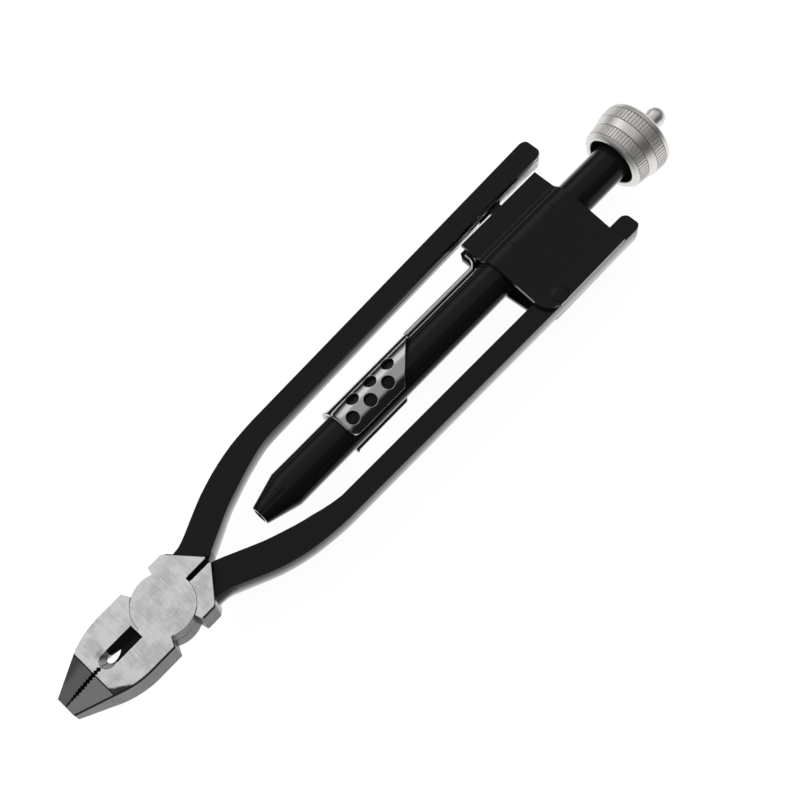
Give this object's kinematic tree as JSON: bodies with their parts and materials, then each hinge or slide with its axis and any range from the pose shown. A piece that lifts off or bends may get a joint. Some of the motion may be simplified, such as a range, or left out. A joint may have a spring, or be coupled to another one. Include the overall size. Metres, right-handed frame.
{
  "type": "safety wire twisting pliers",
  "caption": "Safety wire pliers with lap-jointed serrated jaws, a cutter window, two long handles, a sliding handle lock and a spiral pull-knob twister in a tube between the handles.",
  "frame": {"origin": "on the pivot axis, on the underside of the head and its flush rivet", "axes": "+X along the tool to the pull knob, jaws to -X, +Y to the latched handle, +Z along the pivot axis to the upper lap layer"},
  "size_m": [0.2285, 0.0414, 0.0226],
  "materials": {
    "handle_paint": "satin black paint on the handles, ground bright steel on the head",
    "black_paint": "satin black",
    "ground_steel": "ground satin",
    "dark_steel": "dark oiled",
    "chrome": "polished",
    "brass": "turned",
    "satin_nickel": "satin nickel plate"
  },
  "bodies": {
    "lower": {"lower_half": "handle_paint", "pivot_rivet": "ground_steel"},
    "upper": {"upper_half": "handle_paint", "keeper_pin": "dark_steel"},
    "carrier": {"twist_tube": "black_paint", "bracket_top_plate": "black_paint", "bracket_bottom_plate": "black_paint", "bracket_rivet": "black_paint", "latch_guide_pins": "black_paint", "drive_nut": "brass", "nut_pins": "dark_steel", "rear_spring_washer": "brass", "return_spring": "dark_steel"},
    "latch": {"latch_plate": "dark_steel", "latch_wire": "chrome", "thumb_slide": "chrome"},
    "puller": {"spring_seat": "brass"},
    "spinner": {"twist_rod": "ground_steel", "rod_head_nut": "dark_steel", "knob": "satin_nickel", "end_nut": "satin_nickel"}
  },
  "joints": [
    {"name": "handle_open", "type": "hinge", "parent": "lower", "child": "upper", "pos_m": [0, 0, 0], "axis": [0, 0, 1], "range_deg": [0, 40]},
    {"name": "carrier_swing", "type": "hinge", "parent": "lower", "child": "carrier", "pos_m": [0.1303, -0.01741, 0.00485], "axis": [0, 0, 1], "range_deg": [-1.2, 1.2]},
    {"name": "latch_slide", "type": "slide", "parent": "carrier", "child": "latch", "axis": [-1, 0, 0], "range_m": [0, 0.0026]},
    {"name": "knob_pull", "type": "slide", "parent": "carrier", "child": "puller", "axis": [1, 0, 0], "range_m": [0, 0.08], "stiffness_N_per_m": 60, "deforming": ["return_spring"]},
    {"name": "knob_spin", "type": "hinge", "parent": "puller", "child": "spinner", "pos_m": [0, 0, 0.00485], "axis": [1, 0, 0], "range_deg": [-1, 901]}
  ],
  "couplings": [
    {"joint": "knob_spin", "follows": "knob_pull", "rad_per_m": 196.35}
  ]
}
